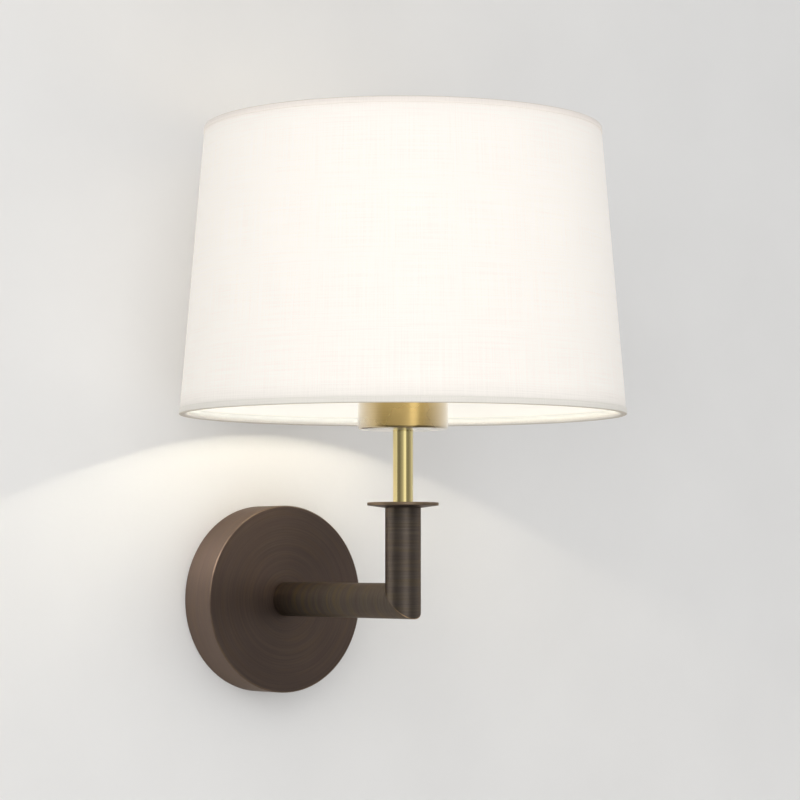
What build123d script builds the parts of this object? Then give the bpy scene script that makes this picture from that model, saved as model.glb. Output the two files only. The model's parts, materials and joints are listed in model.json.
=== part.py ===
from build123d import *
import math
import os

# A wall light: a round wall plate, a mitred L arm of round tube, a thin drip disc, a thin stem,
# a cup with the lampholder in it, and a tapered drum shade of laminated fabric.
# Millimetres. Origin: centre of the wall plate, on the wall. The wall is the plane Y = 0, the lamp
# stands out to -Y, X runs along the wall and +Z is up.

os.makedirs("parts", exist_ok=True)

# ---------------------------------------------------------------- driving dimensions
projection = 134.5          # wall to lamp axis
tube_r = 10.0               # arm and riser tube, outside
tube_wall = 1.5
plate_r = 55.0
plate_depth = 25.0
plate_wall = 1.2
disc_r, disc_z, disc_t = 20.0, 53.0, 2.0
disc_rim_z, disc_skirt_z = 53.35, 52.0     # the underside tapers from the rim down to the riser
stem_r, stem_bore_r = 5.7, 5.15
rod_r, rod_bore_r = 5.0, 3.75       # hollow M10 x 1 threaded rod and nipple
rod_z0, rod_z1 = 41.0, 103.0
cup_r, cup_z0, cup_z1, cup_wall = 25.3, 95.7, 128.0, 1.2

shade_z0, shade_z1 = 103.8, 265.3   # over the hem tapes
shade_r0, shade_r1 = 125.5, 112.1   # over the hem tapes
skin_t, liner_t, tape_t = 0.7, 0.5, 0.5
hem_h = 3.3                         # hem band seen from outside
ring_wire_r = 1.5
arm_wire_r = 1.6
arm_turn = 51.2                     # heading of the first carrier arm, degrees from +X

wire_r = 1.1                        # insulated single core, 2.2 mm over the insulation
wire_off = 1.6                      # each core's distance from the tube axis

flange_z0, flange_z1, flange_r = 128.5, 131.0, 24.8
skirt_r, skirt_z1 = 19.5, 153.0
collar_r, collar_bore_r = 27.5, 19.8
seat_gap = 0.1

bulb_r = 18.5
bulb_z0, bulb_z1 = 126.1, 240.0

# ---------------------------------------------------------------- planes and axes
lamp = Plane(origin=(0, -projection, 0), x_dir=(1, 0, 0), z_dir=(0, -1, 0))   # local y is +Z
lamp_axis = Axis((0, -projection, 0), (0, 0, 1))


def level(z):
    """A level plane on the lamp axis."""
    return Plane(origin=(0, -projection, z), x_dir=(1, 0, 0), z_dir=(0, 0, 1))


def upright(y):
    """A plane facing the room at depth y, its local x along +X and its local y along +Z."""
    return Plane(origin=(0, y, 0), x_dir=(1, 0, 0), z_dir=(0, -1, 0))


def bend_radii(points, largest):
    """Corner radii for a wire: 0.45 of the shorter run over the tangent of half the turn."""
    radii = []
    for a, b, c in zip(points, points[1:], points[2:]):
        before, after = Vector(b) - Vector(a), Vector(c) - Vector(b)
        half = math.radians(before.get_angle(after)) / 2
        radii.append(min(largest, 0.45 * min(before.length, after.length) / math.tan(half)))
    return radii


# ================================================================ WALL SIDE
# Round steel mounting plate. Two bent lugs carry the side screws of the cover.
bracket_r, bracket_t = 50.0, 1.5
lug_z, lug_t, lug_w, lug_y = 52.3, 1.5, 16.0, 12.0
slot_spacing, slot_w, slot_len = 60.0, 5.0, 13.0
entry_r = 10.0
side_screw_y, side_screw_r = -7.0, 2.0
block_w, block_h, block_d, block_z = 30.0, 17.0, 13.0, -25.5
earth_x, earth_z = 30.0, -28.0

with BuildPart() as wall_bracket:
    with BuildSketch(upright(0)):
        Circle(bracket_r)
        Rectangle(lug_w, 2 * lug_z)
        Circle(entry_r, mode=Mode.SUBTRACT)
        with Locations((-slot_spacing / 2, 0), (slot_spacing / 2, 0)):
            SlotOverall(slot_len, slot_w, mode=Mode.SUBTRACT)
        with Locations((5, block_z)):
            Circle(1.5, mode=Mode.SUBTRACT)
        with Locations((earth_x, earth_z)):
            Circle(2.0, mode=Mode.SUBTRACT)
    extrude(amount=bracket_t)
    with BuildSketch(upright(0)):
        with Locations((0, lug_z - lug_t / 2), (0, -lug_z + lug_t / 2)):
            Rectangle(lug_w, lug_t)
    extrude(amount=lug_y)
    with BuildSketch(Plane(origin=(0, side_screw_y, -60), x_dir=(1, 0, 0), z_dir=(0, 0, 1))):
        Circle(side_screw_r + 0.05)
    extrude(amount=120, mode=Mode.SUBTRACT)

# Cover: a spun steel cup, open at the back, its rim on the wall.
with BuildPart() as cover_plate:
    with BuildSketch(Plane.XY):
        with BuildLine():
            Polyline(
                (rod_r + 0.1, -plate_depth),
                (plate_r - 0.6, -plate_depth),
                (plate_r, -plate_depth + 0.6),
                (plate_r, 0),
                (plate_r - plate_wall, 0),
                (plate_r - plate_wall, -plate_depth + plate_wall),
                (rod_r + 0.1, -plate_depth + plate_wall),
                close=True,
            )
        make_face()
    revolve(axis=Axis.Y)
    with BuildSketch(Plane(origin=(0, side_screw_y, -60), x_dir=(1, 0, 0), z_dir=(0, 0, 1))):
        Circle(side_screw_r + 0.15)
    extrude(amount=120, mode=Mode.SUBTRACT)

# The two side screws: socket set screws, flush with the rim.
with BuildPart() as plate_grub_screws:
    with BuildSketch(Plane(origin=(0, side_screw_y, 46.9), x_dir=(1, 0, 0), z_dir=(0, 0, 1))):
        Circle(side_screw_r)
    extrude(amount=8.0)
    with BuildSketch(Plane(origin=(0, side_screw_y, 54.9), x_dir=(1, 0, 0), z_dir=(0, 0, 1))):
        RegularPolygon(1.15, 6)
    extrude(amount=-2.2, mode=Mode.SUBTRACT)
    mirror(about=Plane.XY)

# Three-way terminal block, its brass clamps and their screws.
way_x = (-10.0, 0.0, 10.0)
clamp_y = -8.0
with BuildPart() as terminal_block:
    with BuildSketch(upright(-bracket_t)):
        with Locations((0, block_z)):
            RectangleRounded(block_w, block_h, 1.0)
        with Locations((-5, block_z + block_h / 2), (5, block_z + block_h / 2),
                       (-5, block_z - block_h / 2), (5, block_z - block_h / 2)):
            Rectangle(1.6, 5.0, mode=Mode.SUBTRACT)
    extrude(amount=block_d)
    with BuildSketch(Plane(origin=(0, clamp_y, block_z - block_h), x_dir=(1, 0, 0), z_dir=(0, 0, 1))):
        with Locations(*[(x, 0) for x in way_x]):
            Circle(2.5)
    extrude(amount=2 * block_h, mode=Mode.SUBTRACT)
    with BuildSketch(upright(clamp_y)):
        with Locations(*[(x, block_z + dz) for x in way_x for dz in (-4, 4)]):
            Circle(1.8)
    extrude(amount=20, mode=Mode.SUBTRACT)
    with BuildSketch(upright(0)):
        with Locations((5, block_z)):
            Circle(1.6)
    extrude(amount=20, mode=Mode.SUBTRACT)
    with BuildSketch(upright(-9.5)):
        with Locations((5, block_z)):
            Circle(2.9)
    extrude(amount=20, mode=Mode.SUBTRACT)

with BuildPart() as terminal_clamps:
    with BuildSketch(Plane(origin=(0, clamp_y, block_z - 7.5), x_dir=(1, 0, 0), z_dir=(0, 0, 1))):
        with Locations(*[(x, 0) for x in way_x]):
            Circle(2.45)
            Circle(1.5, mode=Mode.SUBTRACT)
    extrude(amount=15)
    with BuildSketch(upright(clamp_y)):
        with Locations(*[(x, block_z + dz) for x in way_x for dz in (-4, 4)]):
            Circle(1.3)
    extrude(amount=6, mode=Mode.SUBTRACT)

with BuildPart() as terminal_screws:
    with BuildSketch(upright(clamp_y - wire_r - 0.05)):
        with Locations(*[(x, block_z + dz) for x in way_x for dz in (-4, 4)]):
            Circle(1.25)
    extrude(amount=4.4)
    with BuildSketch(upright(clamp_y - wire_r - 0.05 - 4.4)):
        with Locations(*[(x, block_z + dz) for x in way_x for dz in (-4, 4)]):
            Rectangle(3.0, 0.5)
    extrude(amount=-0.7, mode=Mode.SUBTRACT)

with BuildPart() as block_screw:
    with BuildSketch(upright(0)):
        with Locations((5, block_z)):
            Circle(1.45)
    extrude(amount=9.5)
    with BuildSketch(upright(-9.5)):
        with Locations((5, block_z)):
            Circle(2.75)
    extrude(amount=2.0)
    with BuildSketch(upright(-11.5)):
        with Locations((5, block_z)):
            Rectangle(0.7, 3.6)
            Rectangle(3.6, 0.7)
    extrude(amount=-1.2, mode=Mode.SUBTRACT)

# Earth: crimped ring terminal under a pan-head screw on the mounting plate.
ring_t, barrel_y = 0.8, -3.5
with BuildPart() as earth_ring_terminal:
    with BuildSketch(upright(-bracket_t)):
        with Locations((earth_x, earth_z)):
            Circle(4.0)
        with Locations((earth_x, earth_z + 4.4)):
            Rectangle(3.2, 3.2)
        with Locations((earth_x, earth_z)):
            Circle(2.1, mode=Mode.SUBTRACT)
    extrude(amount=ring_t)
    with BuildSketch(Plane(origin=(earth_x, barrel_y, earth_z + 4.6), x_dir=(1, 0, 0), z_dir=(0, 0, 1))):
        Circle(1.75)
    extrude(amount=5.4)
    with BuildSketch(Plane(origin=(earth_x, barrel_y, earth_z + 5.4), x_dir=(1, 0, 0), z_dir=(0, 0, 1))):
        Circle(wire_r + 0.08)
    extrude(amount=6, mode=Mode.SUBTRACT)

with BuildPart() as earth_screw:
    with BuildSketch(upright(-0.1)):
        with Locations((earth_x, earth_z)):
            Circle(1.9)
    extrude(amount=bracket_t + ring_t - 0.1)
    with BuildSketch(upright(-bracket_t - ring_t)):
        with Locations((earth_x, earth_z)):
            Circle(3.5)
    extrude(amount=2.5)
    fillet(earth_screw.faces().sort_by(Axis.Y)[0].edges(), 1.0)
    with BuildSketch(upright(-bracket_t - ring_t - 2.5)):
        with Locations((earth_x, earth_z)):
            Rectangle(0.9, 4.2)
            Rectangle(4.2, 0.9)
    extrude(amount=-1.4, mode=Mode.SUBTRACT)

# ================================================================ ARM AND RISER
# Two lengths of round tube, mitred at 45 degrees and brazed into an L.
mitre_in = Plane(origin=(0, -projection, 0), x_dir=(1, 0, 0), z_dir=(0, 1, -1))
with BuildPart() as arm_tube:
    with BuildSketch(upright(-plate_depth)):
        Circle(tube_r)
        Circle(tube_r - tube_wall, mode=Mode.SUBTRACT)
    extrude(amount=projection - plate_depth + 2 * tube_r)
    chamfer(arm_tube.faces().sort_by(Axis.Y)[-1].outer_wire().edges(), 0.4)
    split(bisect_by=mitre_in, keep=Keep.TOP)

with BuildPart() as riser_tube:
    with BuildSketch(level(-2 * tube_r)):
        Circle(tube_r)
        Circle(tube_r - tube_wall, mode=Mode.SUBTRACT)
    extrude(amount=disc_z + 2 * tube_r)
    split(bisect_by=mitre_in, keep=Keep.BOTTOM)

# Threaded bushes brazed into the tube ends.
bush_len = 12.0
with BuildPart() as arm_bush:
    with BuildSketch(upright(-plate_depth)):
        Circle(tube_r - tube_wall - 0.03)
        Circle(rod_r + 0.05, mode=Mode.SUBTRACT)
    extrude(amount=bush_len)

with BuildPart() as riser_bush:
    with BuildSketch(level(disc_z - bush_len)):
        Circle(tube_r - tube_wall - 0.03)
        Circle(rod_r + 0.05, mode=Mode.SUBTRACT)
    extrude(amount=bush_len)

# Hollow nipple, washer and lock nut that clamp the arm to the cover.
nut_af = 14.0
with BuildPart() as arm_nipple:
    with BuildSketch(upright(-19.0)):
        Circle(rod_r)
        Circle(rod_bore_r, mode=Mode.SUBTRACT)
    extrude(amount=17.0)
    chamfer(arm_nipple.edges().filter_by(GeomType.CIRCLE), 0.3)

with BuildPart() as arm_washer:
    with BuildSketch(upright(-plate_depth + plate_wall + 1.0)):
        Circle(9.0)
        Circle(rod_r + 0.1, mode=Mode.SUBTRACT)
    extrude(amount=1.0)

with BuildPart() as arm_lock_nut:
    with BuildSketch(upright(-plate_depth + plate_wall + 4.0)):
        RegularPolygon(nut_af / 2, 6, major_radius=False)
        Circle(rod_r + 0.05, mode=Mode.SUBTRACT)
    extrude(amount=3.0)

# ================================================================ STEM AND CUP
with BuildPart() as threaded_rod:
    with BuildSketch(level(rod_z0)):
        Circle(rod_r)
        Circle(rod_bore_r, mode=Mode.SUBTRACT)
    extrude(amount=rod_z1 - rod_z0)
    chamfer(threaded_rod.edges().filter_by(GeomType.CIRCLE), 0.3)

with BuildPart() as drip_disc:
    with BuildSketch(lamp):
        with BuildLine():
            Polyline(
                (rod_r + 0.1, disc_z),
                (tube_r + 0.05, disc_z),
                (tube_r + 0.05, disc_skirt_z),
                (disc_r, disc_rim_z),
                (disc_r, disc_z + disc_t),
                (rod_r + 0.1, disc_z + disc_t),
                close=True,
            )
        make_face()
    revolve(axis=lamp_axis)
    fillet(drip_disc.edges().filter_by(GeomType.CIRCLE).group_by(SortBy.RADIUS)[-1], 0.35)

with BuildPart() as stem_sleeve:
    with BuildSketch(level(disc_z + disc_t)):
        Circle(stem_r)
        Circle(stem_bore_r, mode=Mode.SUBTRACT)
    extrude(amount=cup_z0 - disc_z - disc_t)

with BuildPart() as lampholder_cup:
    with BuildSketch(lamp):
        with BuildLine():
            Polyline(
                (rod_r + 0.1, cup_z0),
                (cup_r, cup_z0),
                (cup_r, cup_z1),
                (cup_r - cup_wall, cup_z1),
                (cup_r - cup_wall, cup_z0 + 1.5),
                (rod_r + 0.1, cup_z0 + 1.5),
                close=True,
            )
        make_face()
    revolve(axis=lamp_axis)
    fillet(lampholder_cup.edges().filter_by(GeomType.CIRCLE).group_by(Axis.Z)[0].sort_by(SortBy.RADIUS)[-1], 1.4)
    fillet(lampholder_cup.edges().filter_by(GeomType.CIRCLE).group_by(Axis.Z)[-1], 0.35)

with BuildPart() as cup_nut:
    with BuildSketch(level(cup_z0 + 1.5)):
        RegularPolygon(nut_af / 2, 6, major_radius=False)
        Circle(rod_r + 0.05, mode=Mode.SUBTRACT)
    extrude(amount=3.0)

# ================================================================ LAMPHOLDER
# E27 holder: base on the rod, insulator with two terminals, screw shell, and a body with a
# threaded skirt and a shoulder for the shade.
base_z0, base_z1, base_r = 100.2, 118.0, 19.0
insert_z1 = 124.0
term_x = 8.5
with BuildPart() as holder_base:
    with BuildSketch(lamp):
        with BuildLine():
            Polyline(
                (rod_r + 0.05, base_z0),
                (base_r - 2.5, base_z0),
                (base_r, base_z0 + 2.5),
                (base_r, base_z1),
                (base_r - 3.0, base_z1),
                (base_r - 3.0, base_z0 + 4.0),
                (rod_r + 0.05, base_z0 + 4.0),
                close=True,
            )
        make_face()
    revolve(axis=lamp_axis)

with BuildPart() as holder_insert:
    with BuildSketch(level(base_z1)):
        Circle(base_r - 0.1)
        with Locations((-term_x, 0), (term_x, 0)):
            Circle(1.5, mode=Mode.SUBTRACT)
    extrude(amount=insert_z1 - base_z1)

with BuildPart() as holder_terminals:
    with BuildSketch(level(112.5)):
        with Locations((-term_x - 0.4, 0), (term_x + 0.4, 0)):
            Rectangle(6.0, 6.0)
        with Locations((-term_x, 0), (term_x, 0)):
            Circle(wire_r + 0.2, mode=Mode.SUBTRACT)
    extrude(amount=base_z1 - 112.5)
    with BuildSketch(Plane(origin=(-20, -projection, 114.8), x_dir=(0, 1, 0), z_dir=(1, 0, 0))):
        Circle(1.3)
    extrude(amount=20 - term_x, mode=Mode.SUBTRACT)
    with BuildSketch(Plane(origin=(term_x, -projection, 114.8), x_dir=(0, 1, 0), z_dir=(1, 0, 0))):
        Circle(1.3)
    extrude(amount=10, mode=Mode.SUBTRACT)

with BuildPart() as holder_terminal_screws:
    with BuildSketch(Plane(origin=(term_x + wire_r + 0.1, -projection, 114.8), x_dir=(0, 1, 0), z_dir=(1, 0, 0))):
        Circle(1.25)
    extrude(amount=3.0)
    with BuildSketch(Plane(origin=(term_x + wire_r + 3.1, -projection, 114.8), x_dir=(0, 1, 0), z_dir=(1, 0, 0))):
        Circle(2.0)
    extrude(amount=1.2)
    with BuildSketch(Plane(origin=(term_x + wire_r + 4.3, -projection, 114.8), x_dir=(0, 1, 0), z_dir=(1, 0, 0))):
        Rectangle(5.0, 0.5)
    extrude(amount=-0.6, mode=Mode.SUBTRACT)
    mirror(about=Plane.YZ)

with BuildPart() as centre_contact:
    with BuildSketch(lamp):
        with BuildLine():
            Polyline(
                (-8.2, insert_z1), (-8.2, insert_z1 + 0.5), (-6.0, insert_z1 + 0.5), (-2.0, insert_z1 + 2.0),
                (2.6, insert_z1 + 2.0), (3.4, insert_z1 + 1.4), (3.0, insert_z1 + 1.1), (2.4, insert_z1 + 1.5),
                (-1.8, insert_z1 + 1.5), (-5.8, insert_z1),
                close=True,
            )
        make_face()
    extrude(amount=2.5, both=True)

shell_r, shell_bore_r, shell_z1 = 14.6, 13.8, 144.0
with BuildPart() as screw_shell:
    with BuildSketch(lamp):
        with BuildLine():
            Polyline(
                (9.2, insert_z1), (shell_r, insert_z1), (shell_r, shell_z1), (shell_bore_r, shell_z1),
                (shell_bore_r, insert_z1 + 0.6), (9.2, insert_z1 + 0.6),
                close=True,
            )
        make_face()
    revolve(axis=lamp_axis)

body_z0 = 109.0
with BuildPart() as holder_body:
    with BuildSketch(lamp):
        with BuildLine():
            Polyline(
                (base_r + 0.05, body_z0),
                (21.5, body_z0),
                (21.5, flange_z0),
                (flange_r, flange_z0),
                (flange_r, flange_z1),
                (skirt_r, flange_z1),
                (skirt_r, skirt_z1 - 1.0),
                (skirt_r - 1.0, skirt_z1),
                (15.3, skirt_z1),
                (15.3, insert_z1 + 0.05),
                (base_r + 0.05, insert_z1 + 0.05),
                close=True,
            )
        make_face()
    revolve(axis=lamp_axis)
    # thread of the skirt, as plain rings
    with BuildSketch(lamp):
        with Locations(*[(skirt_r + 0.15, 141.5 + 2.0 * i) for i in range(6)]):
            Rectangle(1.5, 0.9)
    revolve(axis=lamp_axis, mode=Mode.SUBTRACT)

# ================================================================ BULB
# Slim opal tube lamp with an E27 cap.
with BuildPart() as bulb_contact:
    with BuildSketch(level(bulb_z0)):
        Circle(4.8)
    extrude(amount=1.6)
    fillet(bulb_contact.edges().group_by(Axis.Z)[0], 0.9)

with BuildPart() as bulb_insulator:
    with BuildSketch(lamp):
        with BuildLine():
            Polyline(
                (0, bulb_z0 + 1.6), (5.6, bulb_z0 + 1.6), (12.4, bulb_z0 + 5.4), (12.4, bulb_z0 + 7.0), (0, bulb_z0 + 7.0),
                close=True,
            )
        make_face()
    revolve(axis=lamp_axis)

cap_r, cap_z0, cap_z1 = 13.2, 131.5, 151.0
with BuildPart() as bulb_cap:
    with BuildSketch(level(cap_z0)):
        Circle(cap_r)
        Circle(cap_r - 0.6, mode=Mode.SUBTRACT)
    extrude(amount=cap_z1 - cap_z0)

with BuildPart() as bulb_housing:
    with BuildSketch(lamp):
        with BuildLine():
            Polyline(
                (0, 138.0), (12.5, 138.0), (12.5, 151.1), (14.4, 151.1), (14.4, 155.0),
                (18.2, 164.0), (18.2, 170.0), (16.9, 170.0), (16.9, 168.5), (0, 168.5),
                close=True,
            )
        make_face()
    revolve(axis=lamp_axis)

diffuser_t = 1.2
with BuildPart() as bulb_diffuser:
    with BuildSketch(lamp):
        with BuildLine():
            Line((bulb_r, 170.05), (bulb_r, bulb_z1 - 14))
            Spline((bulb_r, bulb_z1 - 14), (bulb_r * 0.72, bulb_z1 - 3.9), (0, bulb_z1),
                   tangents=((0, 1), (-1, 0)))
            Line((0, bulb_z1), (0, bulb_z1 - diffuser_t))
            Spline((0, bulb_z1 - diffuser_t), ((bulb_r - diffuser_t) * 0.72, bulb_z1 - 4.9),
                   (bulb_r - diffuser_t, bulb_z1 - 14), tangents=((1, 0), (0, -1)))
            Line((bulb_r - diffuser_t, bulb_z1 - 14), (bulb_r - diffuser_t, 170.05))
            Line((bulb_r - diffuser_t, 170.05), (bulb_r, 170.05))
        make_face()
    revolve(axis=lamp_axis)

# The light source in the bulb: a square post of boards with rows of chips.
with BuildPart() as bulb_led_board:
    with BuildSketch(level(168.6)):
        Rectangle(9.0, 9.0)
    extrude(amount=52.0)
    for i in range(6):
        with BuildSketch(level(172.0 + 8.0 * i)):
            Rectangle(10.6, 3.2)
            Rectangle(3.2, 10.6)
        extrude(amount=3.2)

# ================================================================ SHADE
slope = (shade_r0 - shade_r1) / (shade_z1 - shade_z0)        # radius lost per mm of height
skin_z0, skin_z1 = shade_z0 + tape_t, shade_z1 - tape_t
skin_r0 = shade_r0 - tape_t                                   # outside of the skin at its bottom edge


def skin_out(z):
    return skin_r0 - slope * (z - skin_z0)


with BuildPart() as shade_skin:
    with BuildSketch(lamp):
        with BuildLine():
            Polyline(
                (skin_out(skin_z0), skin_z0), (skin_out(skin_z1), skin_z1),
                (skin_out(skin_z1) - skin_t, skin_z1), (skin_out(skin_z0) - skin_t, skin_z0),
                close=True,
            )
        make_face()
    revolve(axis=lamp_axis)

with BuildPart() as shade_liner:
    with BuildSketch(lamp):
        with BuildLine():
            Polyline(
                (skin_out(skin_z0) - skin_t, skin_z0), (skin_out(skin_z1) - skin_t, skin_z1),
                (skin_out(skin_z1) - skin_t - liner_t, skin_z1), (skin_out(skin_z0) - skin_t - liner_t, skin_z0),
                close=True,
            )
        make_face()
    revolve(axis=lamp_axis)

# Wire rings at both edges, inside the liner.
low_ring_r = skin_out(skin_z0 + 1.55) - skin_t - liner_t - ring_wire_r - 0.05
low_ring_z = skin_z0 + ring_wire_r + 0.05
top_ring_r = skin_out(skin_z1 - 1.55) - skin_t - liner_t - ring_wire_r - 0.15
top_ring_z = skin_z1 - ring_wire_r - 0.05

with BuildPart() as bottom_ring_wire:
    with BuildSketch(lamp):
        with Locations((low_ring_r, low_ring_z)):
            Circle(ring_wire_r)
    revolve(axis=lamp_axis)

with BuildPart() as top_ring_wire:
    with BuildSketch(lamp):
        with Locations((top_ring_r, top_ring_z)):
            Circle(ring_wire_r)
    revolve(axis=lamp_axis)

# Carrier: a flat centre ring on the holder's shoulder and three wire arms down to the bottom ring.
carrier_z0 = flange_z1 + seat_gap
carrier_t, carrier_r, carrier_bore_r = 1.5, 30.0, 20.4
with BuildPart() as carrier_ring:
    with BuildSketch(level(carrier_z0)):
        Circle(carrier_r)
        Circle(carrier_bore_r, mode=Mode.SUBTRACT)
    extrude(amount=carrier_t)

arm_z = carrier_z0 + carrier_t / 2
leg_r0 = low_ring_r - 0.35
leg_z0 = low_ring_z + 0.3
leg_r1 = leg_r0 - slope * (arm_z - leg_z0) - 0.2
arm_dir = [math.radians(arm_turn + 120 * i) for i in range(3)]
with BuildPart() as carrier_arms:
    for a in arm_dir:
        radial = Plane(origin=(0, -projection, 0), x_dir=(math.cos(a), math.sin(a), 0),
                       z_dir=(math.sin(a), -math.cos(a), 0))
        with BuildLine(radial):
            FilletPolyline((carrier_r - 1.0, arm_z), (leg_r1, arm_z), (leg_r0, leg_z0), radius=9.0)
        with BuildSketch(Plane(origin=radial.from_local_coords((carrier_r - 1.0, arm_z, 0)),
                               z_dir=(math.cos(a), math.sin(a), 0))):
            Circle(arm_wire_r)
        sweep()
    with BuildSketch(level(120)):
        Circle(carrier_r)
    extrude(amount=20, mode=Mode.SUBTRACT)
    with BuildSketch(lamp):
        with Locations((low_ring_r, low_ring_z)):
            Circle(ring_wire_r)
    revolve(axis=lamp_axis, mode=Mode.SUBTRACT)
    with BuildSketch(lamp):
        Rectangle(200, low_ring_z, align=(Align.MIN, Align.MIN))
    revolve(axis=lamp_axis, mode=Mode.SUBTRACT)

# Hem tapes: folded over the edge of skin, liner and ring.
low_in = low_ring_r - ring_wire_r - 0.1
top_in = top_ring_r - ring_wire_r - 0.1
with BuildPart() as bottom_hem_tape:
    with BuildSketch(lamp):
        with BuildLine():
            Polyline(
                (shade_r0, shade_z0),
                (shade_r0 - slope * hem_h, shade_z0 + hem_h),
                (skin_out(shade_z0 + hem_h), shade_z0 + hem_h),
                (skin_out(skin_z0), skin_z0),
                (low_in, skin_z0),
                (low_in, skin_z0 + 3.8),
                (low_in - tape_t, skin_z0 + 3.8),
                (low_in - tape_t, shade_z0),
                close=True,
            )
        make_face()
    revolve(axis=lamp_axis)
    # slits where the carrier arms come down
    with BuildSketch(level(skin_z0 + 0.6)):
        for a in arm_dir:
            with Locations(Location((low_in * math.cos(a), low_in * math.sin(a)), math.degrees(a))):
                Rectangle(4.0, 4.4)
    extrude(amount=8, mode=Mode.SUBTRACT)

with BuildPart() as top_hem_tape:
    with BuildSketch(lamp):
        with BuildLine():
            Polyline(
                (shade_r1, shade_z1),
                (shade_r1 + slope * hem_h, shade_z1 - hem_h),
                (skin_out(shade_z1 - hem_h), shade_z1 - hem_h),
                (skin_out(skin_z1), skin_z1),
                (top_in, skin_z1),
                (top_in, skin_z1 - 3.8),
                (top_in - tape_t, skin_z1 - 3.8),
                (top_in - tape_t, shade_z1),
                close=True,
            )
        make_face()
    revolve(axis=lamp_axis)

# Collar: a ring nut on the holder's skirt, over the carrier ring.
collar_z0 = carrier_z0 + carrier_t + seat_gap
with BuildPart() as shade_collar:
    with BuildSketch(level(collar_z0)):
        Circle(collar_r)
        Circle(collar_bore_r, mode=Mode.SUBTRACT)
    extrude(amount=1.8)
    with BuildSketch(level(collar_z0 + 1.8)):
        Circle(24.6)
        Circle(collar_bore_r, mode=Mode.SUBTRACT)
        with PolarLocations(25.2, 24):
            Circle(1.1, mode=Mode.SUBTRACT)
    extrude(amount=5.2)

# ================================================================ WIRING
live_pts = [(-10, clamp_y, -24), (-10, clamp_y, -9.5), (-2.6, -11.5, 1.6), (-wire_off, -30, 0),
            (-wire_off, -projection, 0), (-wire_off, -projection, 105.0),
            (-term_x, -projection, 111.2), (-term_x, -projection, 117.0)]
neutral_pts = [(0, clamp_y, -24), (0, clamp_y, -10.5), (2.2, -11.0, 0.6), (wire_off, -30, 0),
               (wire_off, -projection, 0), (wire_off, -projection, 105.0),
               (term_x, -projection, 111.2), (term_x, -projection, 117.0)]
earth_pts = [(10, clamp_y, -24), (10, clamp_y, -9), (20, -9, -3), (28, -6.5, -9.5),
             (earth_x, barrel_y, earth_z + 12.5), (earth_x, barrel_y, earth_z + 5.5)]

live_radii = bend_radii(live_pts, 22.0)
neutral_radii = bend_radii(neutral_pts, 22.0)
earth_radii = bend_radii(earth_pts, 22.0)
print("bend radii, live:", [round(r, 1) for r in live_radii])
print("bend radii, neutral:", [round(r, 1) for r in neutral_radii])
print("bend radii, earth:", [round(r, 1) for r in earth_radii])

with BuildPart() as live_wire:
    with BuildLine() as live_path:
        FilletPolyline(*live_pts, radius=live_radii)
    with BuildSketch(Plane(origin=live_path.wire() @ 0, z_dir=live_path.wire() % 0)):
        Circle(wire_r)
    sweep()
print("live wire, mm:", round(live_path.wire().length, 1),
      "volume ratio", round(live_wire.part.volume / (math.pi * wire_r ** 2 * live_path.wire().length), 4))

with BuildPart() as neutral_wire:
    with BuildLine() as neutral_path:
        FilletPolyline(*neutral_pts, radius=neutral_radii)
    with BuildSketch(Plane(origin=neutral_path.wire() @ 0, z_dir=neutral_path.wire() % 0)):
        Circle(wire_r)
    sweep()
print("neutral wire, mm:", round(neutral_path.wire().length, 1),
      "volume ratio", round(neutral_wire.part.volume / (math.pi * wire_r ** 2 * neutral_path.wire().length), 4))

with BuildPart() as earth_lead:
    with BuildLine() as earth_path:
        FilletPolyline(*earth_pts, radius=earth_radii)
    with BuildSketch(Plane(origin=earth_path.wire() @ 0, z_dir=earth_path.wire() % 0)):
        Circle(wire_r)
    sweep()
print("earth lead, mm:", round(earth_path.wire().length, 1),
      "volume ratio", round(earth_lead.part.volume / (math.pi * wire_r ** 2 * earth_path.wire().length), 4))

# ---------------------------------------------------------------- labels and files
wall_bracket.part.label = "wall_bracket"
cover_plate.part.label = "cover_plate"
plate_grub_screws.part.label = "plate_grub_screws"
terminal_block.part.label = "terminal_block"
terminal_clamps.part.label = "terminal_clamps"
terminal_screws.part.label = "terminal_screws"
block_screw.part.label = "block_screw"
earth_ring_terminal.part.label = "earth_ring_terminal"
earth_screw.part.label = "earth_screw"
arm_tube.part.label = "arm_tube"
riser_tube.part.label = "riser_tube"
arm_bush.part.label = "arm_bush"
riser_bush.part.label = "riser_bush"
arm_nipple.part.label = "arm_nipple"
arm_washer.part.label = "arm_washer"
arm_lock_nut.part.label = "arm_lock_nut"
threaded_rod.part.label = "threaded_rod"
drip_disc.part.label = "drip_disc"
stem_sleeve.part.label = "stem_sleeve"
lampholder_cup.part.label = "lampholder_cup"
cup_nut.part.label = "cup_nut"
holder_base.part.label = "holder_base"
holder_insert.part.label = "holder_insert"
holder_terminals.part.label = "holder_terminals"
holder_terminal_screws.part.label = "holder_terminal_screws"
centre_contact.part.label = "centre_contact"
screw_shell.part.label = "screw_shell"
holder_body.part.label = "holder_body"
bulb_contact.part.label = "bulb_contact"
bulb_insulator.part.label = "bulb_insulator"
bulb_cap.part.label = "bulb_cap"
bulb_housing.part.label = "bulb_housing"
bulb_diffuser.part.label = "bulb_diffuser"
bulb_led_board.part.label = "bulb_led_board"
shade_skin.part.label = "shade_skin"
shade_liner.part.label = "shade_liner"
bottom_ring_wire.part.label = "bottom_ring_wire"
top_ring_wire.part.label = "top_ring_wire"
carrier_ring.part.label = "carrier_ring"
carrier_arms.part.label = "carrier_arms"
bottom_hem_tape.part.label = "bottom_hem_tape"
top_hem_tape.part.label = "top_hem_tape"
shade_collar.part.label = "shade_collar"
live_wire.part.label = "live_wire"
neutral_wire.part.label = "neutral_wire"
earth_lead.part.label = "earth_lead"

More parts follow.
